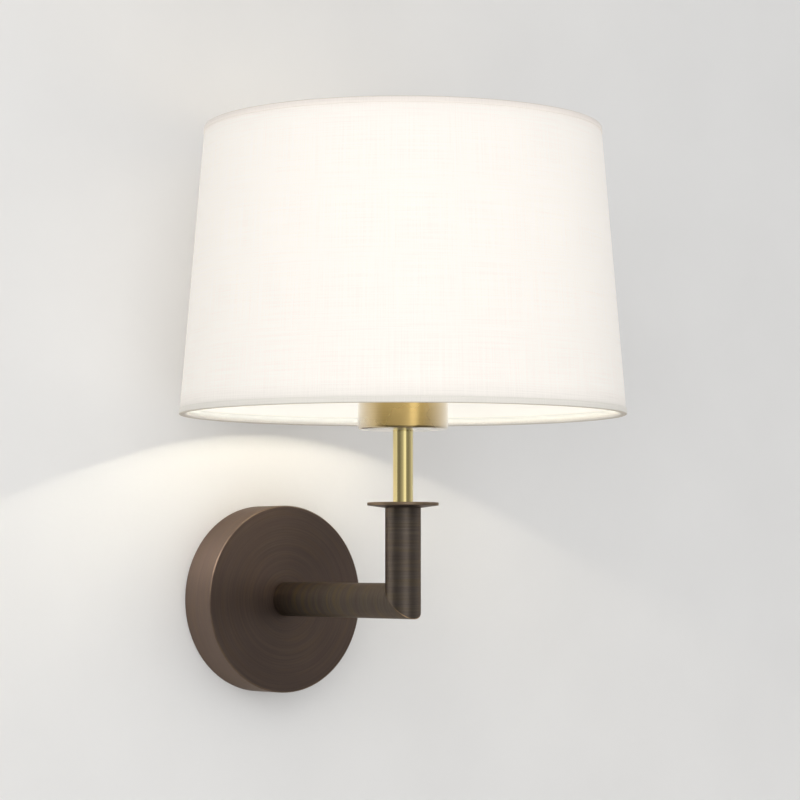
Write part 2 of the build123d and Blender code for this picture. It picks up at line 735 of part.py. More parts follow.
for piece in (
    wall_bracket, cover_plate, plate_grub_screws, terminal_block, terminal_clamps, terminal_screws,
    block_screw, earth_ring_terminal, earth_screw, arm_tube, riser_tube, arm_bush, riser_bush,
    arm_nipple, arm_washer, arm_lock_nut, threaded_rod, drip_disc, stem_sleeve, lampholder_cup,
    cup_nut, holder_base, holder_insert, holder_terminals, holder_terminal_screws, centre_contact,
    screw_shell, holder_body, bulb_contact, bulb_insulator, bulb_cap, bulb_housing, bulb_diffuser,
    bulb_led_board, shade_skin, shade_liner, bottom_ring_wire, top_ring_wire, carrier_ring,
    carrier_arms, bottom_hem_tape, top_hem_tape, shade_collar, live_wire, neutral_wire, earth_lead,
):
    export_step(piece.part, f"parts/{piece.part.label}.step")
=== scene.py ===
import json
import math
import random

import bpy
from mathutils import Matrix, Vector

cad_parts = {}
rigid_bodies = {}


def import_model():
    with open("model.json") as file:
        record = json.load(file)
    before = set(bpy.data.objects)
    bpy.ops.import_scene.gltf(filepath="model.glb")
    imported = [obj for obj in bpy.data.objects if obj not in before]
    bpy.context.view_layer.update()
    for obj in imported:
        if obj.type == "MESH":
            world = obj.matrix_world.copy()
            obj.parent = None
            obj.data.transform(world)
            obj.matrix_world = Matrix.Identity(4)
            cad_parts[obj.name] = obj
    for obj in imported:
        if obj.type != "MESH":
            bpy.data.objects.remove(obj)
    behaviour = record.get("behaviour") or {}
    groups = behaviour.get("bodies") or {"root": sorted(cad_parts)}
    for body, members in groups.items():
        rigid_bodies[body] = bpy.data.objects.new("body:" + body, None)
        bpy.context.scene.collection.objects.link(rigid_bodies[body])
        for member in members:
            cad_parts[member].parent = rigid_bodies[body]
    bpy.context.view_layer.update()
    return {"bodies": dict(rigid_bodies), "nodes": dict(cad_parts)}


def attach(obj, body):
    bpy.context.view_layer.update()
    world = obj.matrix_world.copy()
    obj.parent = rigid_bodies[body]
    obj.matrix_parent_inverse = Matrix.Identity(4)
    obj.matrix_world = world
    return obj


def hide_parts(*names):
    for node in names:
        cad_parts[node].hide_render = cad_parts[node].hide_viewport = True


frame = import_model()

nodes = frame["nodes"]
bodies = frame["bodies"]
scene = bpy.context.scene
scene.view_settings.view_transform = "Standard"
scene.view_settings.look = "None"
scene.view_settings.exposure = 0.0
scene.view_settings.gamma = 1.0

# ------------------------------------------------------------------ the object's own sizes, metres
MM = 0.001
PROJ = 134.5 * MM                       # wall to lamp axis
AX = Vector((0.0, -PROJ, 0.0))
PLATE_R, PLATE_D = 55.0 * MM, 25.0 * MM
SH_Z0, SH_Z1 = 103.8 * MM, 265.3 * MM   # shade over the hem tapes
SH_R0, SH_R1 = 125.5 * MM, 112.1 * MM
SLOPE = (SH_R0 - SH_R1) / (SH_Z1 - SH_Z0)
TAPE = 0.5 * MM
SKIN_T, LINER_T = 0.7 * MM, 0.5 * MM
WIRE = 1.5 * MM


def skin_out(z):
    """Outside radius of the fabric at height z."""
    return SH_R0 - TAPE - SLOPE * (z - SH_Z0 - TAPE)


# ------------------------------------------------------------------ camera
yaw, pitch = math.radians(38.80), math.radians(3.43)
look = Vector((math.sin(yaw) * math.cos(pitch), math.cos(yaw) * math.cos(pitch), math.sin(pitch)))
cam_data = bpy.data.cameras.new("camera")
cam_data.sensor_width = 36.0
cam_data.lens = 121.80
cam_data.clip_start = 0.05
cam_data.clip_end = 30.0
cam = bpy.data.objects.new("camera", cam_data)
cam.location = (-0.95047, -1.31395, 0.02165)
cam.rotation_euler = look.to_track_quat("-Z", "Y").to_euler()
scene.collection.objects.link(cam)
scene.camera = cam


# ------------------------------------------------------------------ materials
class Mat:
    """A procedural material: a Principled shader and short names for the nodes that feed it."""

    def __init__(self, name, **sockets):
        self.m = bpy.data.materials.new(name)
        self.m.use_nodes = True
        self.t = self.m.node_tree
        self.t.nodes.clear()
        self.out = self.t.nodes.new("ShaderNodeOutputMaterial")
        self.b = self.t.nodes.new("ShaderNodeBsdfPrincipled")
        self.t.links.new(self.b.outputs[0], self.out.inputs[0])
        for k, v in sockets.items():
            self.set(k, v)

    def set(self, socket, value):
        s = self.b.inputs[socket.replace("_", " ")]
        if isinstance(value, bpy.types.NodeSocket):
            self.t.links.new(value, s)
        elif hasattr(value, "__len__"):
            s.default_value = (*value, 1.0)[:4] if len(value) == 3 and s.type == "RGBA" else value
        else:
            s.default_value = value

    def node(self, kind, inputs=(), **props):
        n = self.t.nodes.new(kind)
        for k, v in props.items():
            setattr(n, k, v)
        for key, v in dict(inputs).items():
            self.feed(n.inputs[key], v)
        return n

    def feed(self, s, v):
        if isinstance(v, bpy.types.NodeSocket):
            self.t.links.new(v, s)
        elif hasattr(v, "__len__") and s.type == "RGBA" and len(v) == 3:
            s.default_value = (*v, 1.0)
        else:
            s.default_value = v

    def m_(self, op, a, b=0.0, c=0.0, clamp=False):
        n = self.node("ShaderNodeMath", {0: a, 1: b, 2: c}, operation=op, use_clamp=clamp)
        return n.outputs[0]

    def add(self, a, b): return self.m_("ADD", a, b)
    def sub(self, a, b): return self.m_("SUBTRACT", a, b)
    def mul(self, a, b): return self.m_("MULTIPLY", a, b)
    def div(self, a, b): return self.m_("DIVIDE", a, b)

    def xyz(self, origin=(0, 0, 0)):
        """Object coordinates from an origin, in metres."""
        if not hasattr(self, "_xyz"):
            c = self.node("ShaderNodeTexCoord").outputs["Object"]
            self._xyz = self.node("ShaderNodeSeparateXYZ", {0: c}).outputs
        return [self.sub(self._xyz[i], origin[i]) if origin[i] else self._xyz[i] for i in range(3)]

    def vec(self, x, y, z):
        return self.node("ShaderNodeCombineXYZ", {0: x, 1: y, 2: z}).outputs[0]

    def noise(self, v, scale=1.0, detail=2.0, rough=0.5, dist=0.0):
        n = self.node("ShaderNodeTexNoise", {"Vector": v, "Scale": scale, "Detail": detail, "Roughness": rough,
                                             "Distortion": dist})
        return n.outputs["Fac"]

    def voronoi(self, v, scale=1.0, feature="F1"):
        n = self.node("ShaderNodeTexVoronoi", {"Vector": v, "Scale": scale}, feature=feature)
        return n.outputs["Distance"]

    def span(self, v, lo, hi, out_lo=0.0, out_hi=1.0, smooth=False):
        n = self.node("ShaderNodeMapRange", {"Value": v, "From Min": lo, "From Max": hi, "To Min": out_lo,
                                             "To Max": out_hi}, clamp=True,
                      interpolation_type="SMOOTHSTEP" if smooth else "LINEAR")
        return n.outputs[0]

    def ramp(self, fac, *stops):
        n = self.node("ShaderNodeValToRGB", {0: fac})
        e = n.color_ramp.elements
        while len(e) < len(stops):
            e.new(0.5)
        for el, (pos, col) in zip(e, stops):
            el.position = pos
            el.color = (*col, 1.0) if hasattr(col, "__len__") else (col, col, col, 1.0)
        return n.outputs[0]

    def mix(self, fac, a, b, blend="MIX"):
        n = self.node("ShaderNodeMix", data_type="RGBA", blend_type=blend)
        self.feed(n.inputs[0], fac)
        self.feed(n.inputs[6], a)
        self.feed(n.inputs[7], b)
        return n.outputs[2]

    def lerp(self, fac, a, b):
        n = self.node("ShaderNodeMix", data_type="FLOAT")
        self.feed(n.inputs[0], fac)
        self.feed(n.inputs[2], a)
        self.feed(n.inputs[3], b)
        return n.outputs[0]

    def grazing_sheen_paint(self, col, pale, lo=0.10, top=0.66):
        """Painted reflection: the base colour is paled towards grazing angles, standing in for the gloss that
        brightens lacquered metal there.
        """
        facing = self.node("ShaderNodeLayerWeight", {"Blend": 0.5}).outputs["Facing"]
        return self.mix(self.span(facing, lo, 1.0, 0.0, top), col, pale)

    def bump(self, height, strength=0.2, distance=0.0002, under=None):
        ins = {"Height": height, "Strength": strength, "Distance": distance}
        if under is not None:
            ins["Normal"] = under
        n = self.node("ShaderNodeBump", ins)
        self.set("Normal", n.outputs[0])
        return n.outputs[0]


def turned(mt, origin, axis):
    """(s, r, a, around): s runs across the brush marks of a piece turned about axis 'Y' or 'Z'
    through origin, on its faces and on its rim alike. r is the radius, a the height on the axis."""
    x, y, z = mt.xyz(origin)
    p, q, a = (x, z, y) if axis == "Y" else (x, y, z)
    r = mt.m_("SQRT", mt.add(mt.mul(p, p), mt.mul(q, q)))
    return mt.add(r, a), r, a, (p, q)


def bronze(name, origin=(0, 0, 0), axis="Y", edge_rub_and_glint=None, lines=1.0, seam=False, tone=(0.128, 0.099, 0.078), pale=0.12,
           band=1.0, rub_glint_amount=1.0):
    """Dark bronze patina over steel, brushed round the axis, with faint streaks, pale edges that are partly
    rubbed-through patina and partly a painted highlight on the chamfers, and a painted reflection that pales it
    towards grazing angles.
    edge_rub_and_glint is a list of (what, lo, hi) masks on 'r' or 'a' where the edge is painted pale, rub and
    highlight in one."""
    mt = Mat(name, Metallic=1.0)
    s, r, a, (p, q) = turned(mt, origin, axis)
    fine = mt.noise(mt.vec(mt.mul(s, 3000.0), mt.mul(p, 24.0), mt.mul(q, 24.0)), 1.0, 3.0, 0.7)
    mid = mt.noise(mt.vec(mt.mul(s, 1100.0), mt.mul(p, 20.0), mt.mul(q, 20.0)), 1.0, 3.0, 0.6)
    broad = mt.noise(mt.vec(mt.mul(s, 260.0), mt.mul(p, 26.0), mt.mul(q, 26.0)), 1.0, 3.0, 0.6)
    cloud = mt.noise(mt.vec(*mt.xyz()), 34.0, 3.0, 0.55)
    k = 0.16 * lines
    base = mt.ramp(mid, (0.34, tuple(c * (1 - k) for c in tone)), (0.52, tone),
                   (0.68, (tone[0] * (1 + 1.3 * k), tone[1] * (1 + 1.2 * k), tone[2] * (1 + 0.9 * k))))
    base = mt.mix(mt.span(broad, 0.50, 0.68, 0.0, 0.42 * lines * band), base, (tone[0] * 1.22, tone[1] * 1.12, tone[2] * 0.84))
    base = mt.mix(mt.span(broad, 0.46, 0.34, 0.0, 0.30 * lines * band), base, (tone[0] * 0.86, tone[1] * 0.82, tone[2] * 0.86))
    base = mt.mix(mt.span(cloud, 0.35, 0.70, 0.0, 0.25), base, (tone[0] * 0.92, tone[1] * 0.84, tone[2] * 0.86))
    base = mt.mix(mt.span(fine, 0.62, 0.76, 0.0, 0.28 * lines), base, (tone[0] * 1.9, tone[1] * 1.8, tone[2] * 1.6))
    if edge_rub_and_glint:
        mask = None
        for what, lo, hi in edge_rub_and_glint:
            v = r if what == "r" else a
            mk = mt.span(v, lo, hi, 0.0, 1.0)
            mask = mk if mask is None else mt.mul(mask, mk)
        rub_glint_noise = mt.noise(mt.vec(mt.mul(s, 60.0), mt.mul(p, 90.0), mt.mul(q, 90.0)), 1.0, 3.0, 0.6)
        mask = mt.mul(mask, mt.span(rub_glint_noise, 0.34, 0.66, 0.35 * rub_glint_amount, rub_glint_amount))
        # pale edges: partly rubbed-through patina, partly a painted highlight on the chamfers
        base = mt.mix(mask, base, (0.52, 0.37, 0.22))
    if seam:
        x, y, z = mt.xyz((0, -PROJ, 0))
        off = mt.m_("ABSOLUTE", mt.sub(z, y))
        line = mt.span(off, 0.10 * MM, 0.55 * MM, 1.0, 0.0)
        low = mt.span(z, -3.0 * MM, -9.0 * MM, 0.0, 1.0)
        base = mt.mix(mt.mul(line, 0.45), base, (0.24, 0.17, 0.11))
        mask = mt.mul(mt.mul(line, low), mt.span(mt.noise(mt.vec(*mt.xyz()), 420.0, 2.0), 0.30, 0.60, 0.4, 1.0))
        base = mt.mix(mask, base, (0.75, 0.50, 0.28))
    # painted reflection: the bronze pales towards grazing angles
    mt.set("Base_Color", mt.grazing_sheen_paint(base, (0.60, 0.50, 0.42), top=pale))
    mt.set("Roughness", mt.add(mt.span(mid, 0.3, 0.7, 0.42, 0.52), mt.span(fine, 0.3, 0.7, -0.03, 0.04)))
    mt.bump(mt.add(mt.mul(fine, 0.7), mt.mul(mid, 0.4)), 0.22, 0.00005)
    mt.set("Anisotropic", 0.5)
    mt.set("Anisotropic_Rotation", 0.25)       # brushed round the axis, so gloss spreads across the marks
    mt.set("Tangent", mt.node("ShaderNodeTangent", direction_type="RADIAL", axis=axis).outputs[0])
    mt.set("Specular_Tint", (0.45, 0.38, 0.33))
    mt.set("Coat_Weight", 0.25)
    mt.set("Coat_Roughness", 0.38)
    return mt.m


def brass(name, colour, rough, brushed, origin=(0, -PROJ, 0), aniso=0.0, pale=0.8):
    mt = Mat(name, Metallic=1.0)
    s, r, a, (p, q) = turned(mt, origin, "Z")
    fine = mt.noise(mt.vec(mt.mul(s, 5200.0), mt.mul(p, 20.0), mt.mul(q, 20.0)), 1.0, 2.0, 0.6)
    cloud = mt.noise(mt.vec(*mt.xyz()), 30.0, 3.0, 0.5)
    col = mt.ramp(fine, (0.30, tuple(c * (1 - 0.07 * brushed) for c in colour)), (0.50, colour),
                  (0.72, tuple(min(1.0, c * (1 + 0.05 * brushed)) for c in colour)))
    col = mt.mix(mt.span(cloud, 0.40, 0.70, 0.0, 0.18), col, tuple(c * k for c, k in zip(colour, (0.92, 0.88, 0.80))))
    # painted reflection: the brass pales towards grazing angles, most on the cup
    mt.set("Base_Color", mt.grazing_sheen_paint(col, (1.0, 0.98, 0.95), top=pale))
    mt.set("Roughness", mt.span(cloud, 0.3, 0.7, rough - 0.02, rough + 0.03))
    if brushed:
        mt.bump(fine, 0.10 * brushed, 0.00003)
    if aniso:
        mt.set("Anisotropic", aniso)
        mt.set("Anisotropic_Rotation", 0.25)
        mt.set("Tangent", mt.node("ShaderNodeTangent", direction_type="RADIAL", axis="Z").outputs[0])
    return mt.m


def plain_metal(name, colour, rough=0.3, scale=900.0, dirt=0.25):
    mt = Mat(name, Metallic=1.0)
    v = mt.vec(*mt.xyz())
    n = mt.noise(v, scale, 3.0, 0.6)
    c = mt.noise(v, 70.0, 3.0, 0.5)
    col = mt.ramp(n, (0.3, tuple(k * 0.86 for k in colour)), (0.7, colour))
    mt.set("Base_Color", mt.mix(mt.span(c, 0.45, 0.75, 0.0, dirt), col, tuple(k * 0.55 for k in colour)))
    mt.set("Roughness", mt.span(c, 0.3, 0.7, rough - 0.06, rough + 0.10))
    mt.bump(n, 0.12, 0.00005)
    return mt.m


def plastic(name, colour, rough=0.4, grain=2600.0, bump=0.12, coat=0.0, emit=None, emit_s=0.0):
    mt = Mat(name, Metallic=0.0)
    v = mt.vec(*mt.xyz())
    n = mt.noise(v, grain, 2.0, 0.5)
    c = mt.noise(v, 55.0, 3.0, 0.5)
    mt.set("Base_Color", mt.ramp(c, (0.30, tuple(k * 0.92 for k in colour)), (0.70, tuple(min(1.0, k * 1.05) for k in colour))))
    mt.set("Roughness", mt.span(n, 0.3, 0.7, rough - 0.05, rough + 0.08))
    mt.bump(n, bump, 0.00004)
    if coat:
        mt.set("Coat_Weight", coat)
    if emit:
        mt.set("Emission_Color", emit)
        mt.set("Emission_Strength", emit_s)
    return mt.m


def cloth(name, colour, glow_colour, glow, pitch=0.42 * MM, edge=None,
          lap_lit_paint=None):
    """Plain-weave cloth from the mesh's own metre-scaled coordinates (UV map 'cloth').
    glow is the lamp's light that comes through, painted as emission in (height, strength) stops; where the stops fall
    off towards a hem that is painted shade.
    edge is (height of the fold, way to the cloth): the cloth is painted browner at the fold itself, a painted shade.
    lap_lit_paint, if given, is the colour painted on the lap inside, whose painted glow is raised there too, for the
    lamp's light on it."""
    mt = Mat(name, Metallic=0.0, Roughness=0.86)
    uv = mt.node("ShaderNodeUVMap", uv_map="cloth").outputs[0]
    sep = mt.node("ShaderNodeSeparateXYZ", {0: uv}).outputs
    u, v = sep[0], sep[1]
    wob = mt.noise(mt.vec(mt.mul(u, 60.0), mt.mul(v, 60.0), 0.0), 1.0, 2.0)
    k = math.pi / pitch
    su = mt.m_("SINE", mt.add(mt.mul(u, k), mt.mul(wob, 2.0)))
    sv = mt.m_("SINE", mt.add(mt.mul(v, k), mt.mul(wob, 1.6)))
    weave = mt.mul(su, sv)                                       # over and under
    warp = mt.noise(mt.vec(mt.mul(u, 1500.0), mt.mul(v, 26.0), 3.0), 1.0, 2.0, 0.6)    # yarn by yarn, slubs
    weft = mt.noise(mt.vec(mt.mul(u, 26.0), mt.mul(v, 1500.0), 7.0), 1.0, 2.0, 0.6)
    slow = mt.noise(mt.vec(mt.mul(u, 260.0), mt.mul(v, 260.0), 5.0), 1.0, 4.0, 0.7)
    slub = mt.mul(mt.add(warp, weft), 0.5)
    fuzz = mt.noise(mt.vec(mt.mul(u, 3800.0), mt.mul(v, 3800.0), 1.0), 1.0, 2.0, 0.6)
    lo, hi = tuple(c * 0.94 for c in colour), tuple(min(1.0, c * 1.03) for c in colour)
    col = mt.ramp(slub, (0.36, lo), (0.52, colour), (0.66, hi))
    col = mt.mix(mt.span(weave, -0.4, -1.0, 0.0, 0.07), col, tuple(c * 0.80 for c in colour))
    x, y, z = mt.xyz()
    if edge:
        d = mt.mul(mt.sub(z, edge[0]), float(edge[1]))
        # painted shade: browner within half a millimetre of the fold
        col = mt.mix(mt.span(d, 0.50 * MM, 0.10 * MM, 0.0, 0.65), col, (0.48, 0.40, 0.31))
        yy = mt.add(y, PROJ)
        reach = mt.m_("SQRT", mt.add(mt.mul(x, x), mt.mul(yy, yy)))
        depth = mt.sub(mt.add(reach, mt.mul(z, SLOPE)), SH_R0 - TAPE + SLOPE * (SH_Z0 + TAPE))
        lap = mt.mul(mt.span(depth, -0.95 * MM, -0.60 * MM, 1.0, 0.0), mt.span(d, 1.2 * MM, 2.8 * MM))
        if lap_lit_paint:                       # the lap inside is painted paler and more neutral, for the lamp's light on it
            col = mt.mix(lap, col, lap_lit_paint)
    mt.set("Base_Color", col)
    h = mt.add(mt.mul(weave, 0.12), mt.add(mt.mul(slub, 1.2), mt.mul(fuzz, 0.40)))
    mt.bump(h, 0.45, 0.00012)
    mt.set("Sheen_Weight", 0.06)
    mt.set("Sheen_Roughness", 0.5)
    # the painted glow: height stops, varied a little with the yarn
    z0, z1 = glow[0][0], glow[-1][0]
    g = mt.ramp(mt.span(z, z0, z1), *[((zz - z0) / (z1 - z0), st) for zz, st in glow])
    g = mt.mul(g, mt.span(slub, 0.34, 0.66, 0.968, 1.028))
    g = mt.mul(g, mt.span(slow, 0.30, 0.70, 0.985, 1.015))
    if lap_lit_paint:
        # painted light: the lap's glow is raised up to 1.45 times
        g = mt.mul(g, mt.span(lap, 0.0, 1.0, 1.0, 1.45))
    mt.set("Emission_Color", glow_colour)
    mt.set("Emission_Strength", g)
    return mt.m


M = {}
M["plate"] = bronze("bronze_plate", (0, 0, 0), "Y", lines=0.75, tone=(0.184, 0.134, 0.108), rub_glint_amount=0.45, edge_rub_and_glint=[("r", 54.1 * MM, 54.7 * MM), ("a", -24.2 * MM, -24.9 * MM)])
M["arm"] = bronze("bronze_arm", (0, 0, 0), "Y", edge_rub_and_glint=[("a", -25.5 * MM, -25.0 * MM)], seam=True, lines=1.5, tone=(0.130, 0.105, 0.082), pale=0.04, band=2.6)
M["riser"] = bronze("bronze_riser", (0, -PROJ, 0), "Z", seam=True, lines=1.5, tone=(0.158, 0.130, 0.107), pale=0.03)
M["disc"] = bronze("bronze_disc", (0, -PROJ, 0), "Z", tone=(0.172, 0.139, 0.117), pale=0.0, edge_rub_and_glint=[("r", 19.4 * MM, 20.4 * MM)])
M["screws_bronze"] = plain_metal("bronze_screw", (0.12, 0.09, 0.07), 0.4)
M["stem"] = brass("stem_brass", (0.84, 0.70, 0.32), 0.10, 0.0, pale=0.10)
M["cup"] = brass("cup_brass", (0.57, 0.415, 0.168), 0.28, 1.0, aniso=0.6, pale=0.95)
M["zinc"] = plain_metal("zinc_plate", (0.66, 0.68, 0.70), 0.34)
M["terminal"] = plain_metal("terminal_brass", (0.78, 0.62, 0.32), 0.30)
M["tin"] = plain_metal("tinned", (0.72, 0.71, 0.68), 0.32)
M["nickel"] = plain_metal("nickel", (0.70, 0.68, 0.63), 0.20, 300.0, 0.12)
M["block"] = plastic("block_plastic", (0.80, 0.79, 0.74), 0.45)
M["black"] = plastic("holder_plastic", (0.022, 0.022, 0.023), 0.38)
M["porcelain"] = plastic("porcelain", (0.84, 0.83, 0.79), 0.16, 700.0, 0.05, coat=0.4)
M["cap_glass"] = plastic("cap_glass", (0.012, 0.012, 0.014), 0.12, 700.0, 0.04)
M["white"] = plastic("bulb_white", (0.86, 0.85, 0.82), 0.30)
M["opal"] = plastic("opal", (0.90, 0.87, 0.80), 0.30, 700.0, 0.03, emit=(1.0, 0.80, 0.56), emit_s=3.2)
M["led"] = plastic("led_ceramic", (0.85, 0.80, 0.52), 0.35)
M["brown"] = plastic("live_insulation", (0.085, 0.036, 0.016), 0.32, 1200.0, 0.05)
M["blue"] = plastic("neutral_insulation", (0.018, 0.075, 0.32), 0.32, 1200.0, 0.05)
M["powder"] = plastic("white_powder", (0.86, 0.85, 0.82), 0.36, 1800.0, 0.30)

# earth core: green with a yellow stripe along it
mt = Mat("earth_insulation", Metallic=0.0, Roughness=0.32)
nrm = mt.node("ShaderNodeSeparateXYZ", {0: mt.node("ShaderNodeNewGeometry").outputs["Normal"]}).outputs
side = mt.add(nrm[0], mt.mul(nrm[1], -0.6))
grain = mt.noise(mt.vec(*mt.xyz()), 900.0, 2.0)
mt.set("Base_Color", mt.mix(mt.span(mt.add(side, mt.mul(grain, 0.15)), 0.10, 0.22), (0.020, 0.20, 0.030), (0.72, 0.56, 0.03)))
mt.bump(grain, 0.08, 0.00004)
M["earth"] = mt.m

# liner: smooth translucent film; its brightness is mostly painted glow over a dark base colour: emission, stronger low
# down, standing in for the lamp's light on it
mt = Mat("liner_film", Metallic=0.0)
v = mt.vec(*mt.xyz())
c = mt.noise(v, 18.0, 3.0, 0.5)
f = mt.noise(v, 2200.0, 2.0, 0.5)
mt.set("Base_Color", mt.ramp(c, (0.30, (0.39, 0.39, 0.38)), (0.70, (0.41, 0.41, 0.40))))
mt.set("Roughness", mt.span(f, 0.3, 0.7, 0.42, 0.55))
mt.bump(f, 0.10, 0.00005)
# painted glow, fading from the foot upwards
mt.set("Emission_Color", (1.0, 0.96, 0.88))
mt.set("Emission_Strength", mt.span(mt.xyz()[2], 125 * MM, 215 * MM, 0.645, 0.38))
M["liner"] = mt.m

CLOTH = (0.80, 0.765, 0.715)
GLOW = (1.0, 0.955, 0.905)
GS = 0.254                               # strength of the painted glow at mid height
# the skin's painted glow, dimmer towards both hems: painted shade where the rings and folds hold back the lamp's light
M["skin"] = cloth("shade_fabric", CLOTH, GLOW, [(SH_Z0 + 2.8 * MM, GS * 0.40), (SH_Z0 + 5.5 * MM, GS * 0.68), (SH_Z0 + 12 * MM, GS * 0.92),
                                                (170 * MM, GS * 0.98), (210 * MM, GS), (250 * MM, GS * 0.98),
                                                (SH_Z1 - 8 * MM, GS * 0.92), (SH_Z1 - 5 * MM, GS * 0.84),
                                                (SH_Z1 - 3 * MM, GS * 0.70)])
# the hems' painted glow fades towards the fold, a painted shade
M["hem_low"] = cloth("hem_fabric_low", (0.755, 0.725, 0.672), (0.94, 0.95, 0.87), [(SH_Z0, GS * 0.15), (SH_Z0 + 0.7 * MM, GS * 0.29),
                     (SH_Z0 + 3.4 * MM, GS * 0.40)], edge=(SH_Z0, 1), lap_lit_paint=(0.775, 0.79, 0.775))
M["hem_top"] = cloth("hem_fabric_top", (0.82, 0.765, 0.715), (1.0, 0.92, 0.84), [(SH_Z1 - 4 * MM, GS * 0.74),
                     (SH_Z1 - 2.3 * MM, GS * 0.52), (SH_Z1 - 1.0 * MM, GS * 0.30), (SH_Z1, GS * 0.15)], edge=(SH_Z1, -1))

of_node = {
    "wall_bracket": "zinc", "cover_plate": "plate", "plate_grub_screws": "screws_bronze", "terminal_block": "block",
    "terminal_clamps": "terminal", "terminal_screws": "zinc", "block_screw": "zinc", "earth_ring_terminal": "tin",
    "earth_screw": "terminal", "arm_tube": "arm", "riser_tube": "riser", "arm_bush": "zinc", "riser_bush": "zinc",
    "arm_nipple": "zinc", "arm_washer": "zinc", "arm_lock_nut": "zinc", "threaded_rod": "zinc", "drip_disc": "disc",
    "stem_sleeve": "stem", "lampholder_cup": "cup", "cup_nut": "zinc", "holder_base": "black",
    "holder_insert": "porcelain", "holder_terminals": "terminal", "holder_terminal_screws": "zinc",
    "centre_contact": "terminal", "screw_shell": "nickel", "holder_body": "black", "live_wire": "brown",
    "neutral_wire": "blue", "earth_lead": "earth", "shade_collar": "black", "shade_skin": "skin",
    "shade_liner": "liner", "bottom_ring_wire": "powder", "top_ring_wire": "powder", "carrier_ring": "powder",
    "carrier_arms": "powder", "bottom_hem_tape": "hem_low", "top_hem_tape": "hem_top", "bulb_contact": "terminal",
    "bulb_insulator": "cap_glass", "bulb_cap": "nickel", "bulb_housing": "white", "bulb_diffuser": "opal",
    "bulb_led_board": "led",
}
for n, o in nodes.items():
    mat = M[of_node[n]]
    if o.material_slots:
        for sl in o.material_slots:
            sl.link = "OBJECT"
            sl.material = mat
    else:
        o.data.materials.append(mat)


# ------------------------------------------------------------------ mesh pieces
def make(name, verts, faces, mat, uv=None, body=None, smooth=True):
    me = bpy.data.meshes.new(name)
    me.from_pydata([tuple(v) for v in verts], [], faces)
    me.validate()
    me.update()
    if uv is not None:
        layer = me.uv_layers.new(name="cloth")
        for poly in me.polygons:
            for li, value in zip(poly.loop_indices, uv(poly)):
                layer.data[li].uv = value
    me.materials.append(mat)
    for p in me.polygons:
        p.use_smooth = smooth
    ob = bpy.data.objects.new(name, me)
    scene.collection.objects.link(ob)
    if body:
        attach(ob, body)
    return ob


def lathe(name, profile, mat, body, seg=256, wobble=None, closed=True, uv_len=None):
    """A ring swept from a closed profile of (radius, z) points round the lamp axis, with cloth
    coordinates in metres: round the ring, and along the profile."""
    n = len(profile)
    run = [0.0]
    for a, b in zip(profile, profile[1:] + profile[:1]):
        run.append(run[-1] + math.hypot(b[0] - a[0], b[1] - a[1]))
    verts, faces = [], []
    rmean = sum(p[0] for p in profile) / n
    for i in range(seg):
        t = 2 * math.pi * i / seg
        for j, (r, z) in enumerate(profile):
            dr, dz = wobble(t, r, z, j) if wobble else (0.0, 0.0)
            verts.append(((r + dr) * math.cos(t), -PROJ + (r + dr) * math.sin(t), z + dz))
    for i in range(seg):
        for j in range(n):
            a, b = i * n + j, i * n + (j + 1) % n
            c, d = ((i + 1) % seg) * n + (j + 1) % n, ((i + 1) % seg) * n + j
            faces.append((a, d, c, b))

    def uv(poly):
        i, j = divmod(poly.index, n)
        u0, u1 = 2 * math.pi * rmean * i / seg, 2 * math.pi * rmean * (i + 1) / seg
        return [(u0, run[j]), (u1, run[j]), (u1, run[j + 1]), (u0, run[j + 1])]

    return make(name, verts, faces, mat, uv, body)


def ribbon(path, t):
    """Closed profile of a band of thickness t along a path of (radius, z) points, ends rounded."""
    left, right = [], []
    for i, p in enumerate(path):
        a, b = path[max(0, i - 1)], path[min(len(path) - 1, i + 1)]
        dx, dz = b[0] - a[0], b[1] - a[1]
        k = math.hypot(dx, dz)
        nx, nz = -dz / k, dx / k
        left.append((p[0] + nx * t / 2, p[1] + nz * t / 2))
        right.append((p[0] - nx * t / 2, p[1] - nz * t / 2))

    def end(p, q):
        dx, dz = p[0] - q[0], p[1] - q[1]
        k = math.hypot(dx, dz)
        return (p[0] + dx / k * t * 0.42, p[1] + dz / k * t * 0.42)

    return left + [end(path[-1], path[-2])] + right[::-1] + [end(path[0], path[1])]


def waves(seed, amp, count):
    rnd = random.Random(seed)
    terms = [(rnd.randint(2, count), rnd.uniform(0, 6.28), rnd.uniform(0.3, 1.0)) for _ in range(9)]
    k = amp / sum(w for _, _, w in terms)
    return lambda t: k * sum(w * math.sin(n * t + ph) for n, ph, w in terms)


# fabric skin: one sheet wound once round the liner, lapped on the wall side
LAP = 10.0 * MM
SEG, ROWS = 320, 48
start = math.radians(78.0)
lap_ang = LAP / skin_out((SH_Z0 + SH_Z1) / 2)
total = 2 * math.pi + lap_ang
wave_r = waves(11, 0.10 * MM, 9)
th = 0.55 * MM
verts, faces, uvs = [], [], {}
z_lo, z_hi = SH_Z0 + TAPE, SH_Z1 - TAPE
for side in (0, 1):
    for i in range(SEG + 1):
        f = i / SEG
        t = start + total * f
        from_end = total * (1 - f)
        lift = 0.72 * MM * min(1.0, max(0.0, (lap_ang * 1.5 - from_end) / (lap_ang * 0.5)))
        for j in range(ROWS + 1):
            z = z_lo + (z_hi - z_lo) * j / ROWS
            edge = math.sin(math.pi * j / ROWS)
            r = skin_out(z) - SKIN_T + 0.02 * MM + lift + (th if side == 0 else 0.0) + wave_r(t) * edge
            verts.append((r * math.cos(t), -PROJ + r * math.sin(t), z))
            uvs[len(verts) - 1] = (total * f * skin_out((z_lo + z_hi) / 2), z - z_lo)
row = ROWS + 1
off = (SEG + 1) * row
